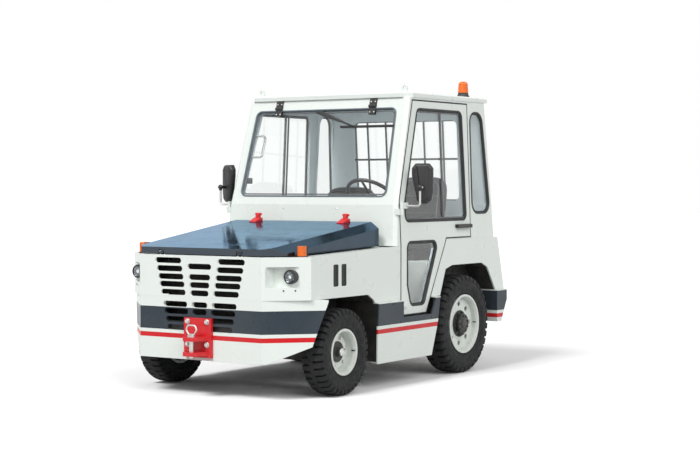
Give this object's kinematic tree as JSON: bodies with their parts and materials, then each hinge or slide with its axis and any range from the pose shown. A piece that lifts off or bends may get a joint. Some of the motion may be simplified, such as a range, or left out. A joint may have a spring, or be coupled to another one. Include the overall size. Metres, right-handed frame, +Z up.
{
  "type": "airport baggage tug",
  "caption": "Two-seat towing tractor with a full cab, a slotted steel nose, a hinged hood, steered front wheels, swinging doors and a towing jaw at each end.",
  "frame": {"origin": "on the ground, below the middle of the whole outline", "axes": "+X to the vehicle's left side, -Y to its front, +Z up"},
  "size_m": [1.8858, 3.165, 2.2119],
  "materials": {
    "body_paint": "satin enamel",
    "hood_paint": "gloss enamel",
    "red_paint": "gloss enamel",
    "chassis_paint": "satin enamel",
    "floor_mat": "ribbed mat",
    "engine_iron": "rough",
    "radiator_core": "finned, painted black",
    "window_glass": "clear, slightly green",
    "tyre_rubber": "matt",
    "rim_paint": "satin enamel",
    "zinc_steel": "zinc plated",
    "black_plastic": "fine grain",
    "seat_vinyl": "grained vinyl",
    "lamp_clear": "clear lens",
    "lamp_amber": "amber lens",
    "lamp_red": "red lens"
  },
  "bodies": {
    "chassis": {"beacon": "lamp_amber", "cab_floor": "floor_mat", "cab_frame": "body_paint", "cab_glass": "window_glass", "chassis_frame": "chassis_paint", "cowl": "body_paint", "cross_members": "chassis_paint", "dashboard": "black_plastic", "door_hinges": "body_paint", "engine_block": "engine_iron", "front_axle": "chassis_paint", "front_bumper": "body_paint", "front_jaw": "red_paint", "front_panel": "body_paint", "headlamps": "lamp_clear", "indicators": "lamp_amber", "radiator": "radiator_core", "rear_axle": "chassis_paint", "rear_body": "body_paint", "rear_bumper": "body_paint", "rear_guard": "chassis_paint", "rear_jaw": "red_paint", "roof": "body_paint", "screen_fittings": "black_plastic", "seat_bases": "black_plastic", "seats": "seat_vinyl", "side_panels": "body_paint", "side_vents": "black_plastic", "skirts": "body_paint", "steering_wheel": "black_plastic", "tail_lamps": "lamp_red", "tow_pins": "zinc_steel", "wheel_wells": "chassis_paint"},
    "hood": {"hood": "hood_paint", "hood_catches": "red_paint"},
    "track_rod": {"track_rod": "chassis_paint"},
    "door_left": {"door_left": "body_paint", "door_glass_left": "window_glass", "door_handle_left": "black_plastic", "mirror_left": "black_plastic"},
    "knuckle_left": {"knuckle_left": "chassis_paint"},
    "wheel_front_left": {"tyre_front_left": "tyre_rubber", "rim_front_left": "rim_paint"},
    "wheel_rear_left": {"tyre_rear_left": "tyre_rubber", "rim_rear_left": "rim_paint"},
    "door_right": {"door_right": "body_paint", "door_glass_right": "window_glass", "door_handle_right": "black_plastic", "mirror_right": "black_plastic"},
    "knuckle_right": {"knuckle_right": "chassis_paint"},
    "wheel_front_right": {"tyre_front_right": "tyre_rubber", "rim_front_right": "rim_paint"},
    "wheel_rear_right": {"tyre_rear_right": "tyre_rubber", "rim_rear_right": "rim_paint"}
  },
  "joints": [
    {"name": "hood_hinge", "type": "hinge", "parent": "chassis", "child": "hood", "pos_m": [0, -1.4365, 0.962], "axis": [1, 0, 0], "range_deg": [0, 60]},
    {"name": "door_left_hinge", "type": "hinge", "parent": "chassis", "child": "door_left", "pos_m": [0.77, -0.1265, 0.55], "axis": [0, 0, -1], "range_deg": [0, 75]},
    {"name": "door_right_hinge", "type": "hinge", "parent": "chassis", "child": "door_right", "pos_m": [-0.77, -0.1265, 0.55], "axis": [0, 0, 1], "range_deg": [0, 75]},
    {"name": "steer_left", "type": "hinge", "parent": "chassis", "child": "knuckle_left", "pos_m": [0.59, -0.8775, 0.295], "axis": [0, 0, 1], "range_deg": [-35, 35]},
    {"name": "steer_right", "type": "hinge", "parent": "chassis", "child": "knuckle_right", "pos_m": [-0.59, -0.8775, 0.295], "axis": [0, 0, 1], "range_deg": [-35, 35]},
    {"name": "track_rod_pin", "type": "hinge", "parent": "knuckle_left", "child": "track_rod", "pos_m": [0.59, -0.7275, 0.25], "axis": [0, 0, 1], "range_deg": [-35, 35]},
    {"name": "wheel_front_left_spin", "type": "hinge", "parent": "knuckle_left", "child": "wheel_front_left", "pos_m": [0.7045, -0.8775, 0.295], "axis": [1, 0, 0], "continuous": true},
    {"name": "wheel_front_right_spin", "type": "hinge", "parent": "knuckle_right", "child": "wheel_front_right", "pos_m": [-0.7045, -0.8775, 0.295], "axis": [1, 0, 0], "continuous": true},
    {"name": "wheel_rear_left_spin", "type": "hinge", "parent": "chassis", "child": "wheel_rear_left", "pos_m": [0.6945, 0.7565, 0.37], "axis": [1, 0, 0], "continuous": true},
    {"name": "wheel_rear_right_spin", "type": "hinge", "parent": "chassis", "child": "wheel_rear_right", "pos_m": [-0.6945, 0.7565, 0.37], "axis": [1, 0, 0], "continuous": true}
  ],
  "couplings": [
    {"joint": "steer_right", "follows": "steer_left", "ratio": 1},
    {"joint": "track_rod_pin", "follows": "steer_left", "ratio": -1}
  ]
}
